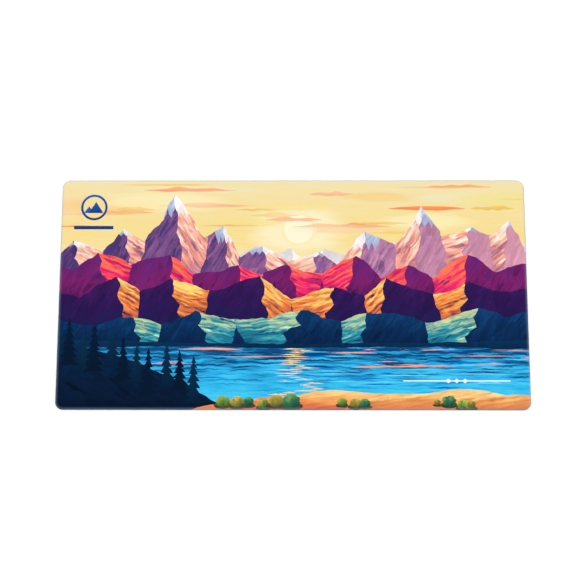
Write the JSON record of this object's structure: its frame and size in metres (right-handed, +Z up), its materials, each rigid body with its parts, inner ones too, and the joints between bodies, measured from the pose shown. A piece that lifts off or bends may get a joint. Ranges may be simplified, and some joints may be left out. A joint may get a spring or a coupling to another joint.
{
  "type": "desk mat",
  "caption": "Thin rectangular desk mat with rounded corners and a soft rounded edge: printed cloth over foam on a grippy rubber sheet.",
  "frame": {"origin": "centre of the underside, on the desk", "axes": "+X along the long side to the user's right, +Y to the back, which is the top of the printed picture, +Z up out of the working face"},
  "size_m": [0.8, 0.4, 0.004],
  "materials": {
    "printed_cloth": "fine polyester weave, dye printed in many colours, matt",
    "foam": "closed-cell sponge rubber, black, matt",
    "melt_film": "thin hot-melt film, translucent off-white",
    "grip_rubber": "solid rubber, black, fine wavy tread underneath"
  },
  "bodies": {
    "root": {"printed_cover": "printed_cloth", "cover_bond_film": "melt_film", "foam_core": "foam", "base_bond_film": "melt_film", "grip_base": "grip_rubber"}
  },
  "joints": []
}
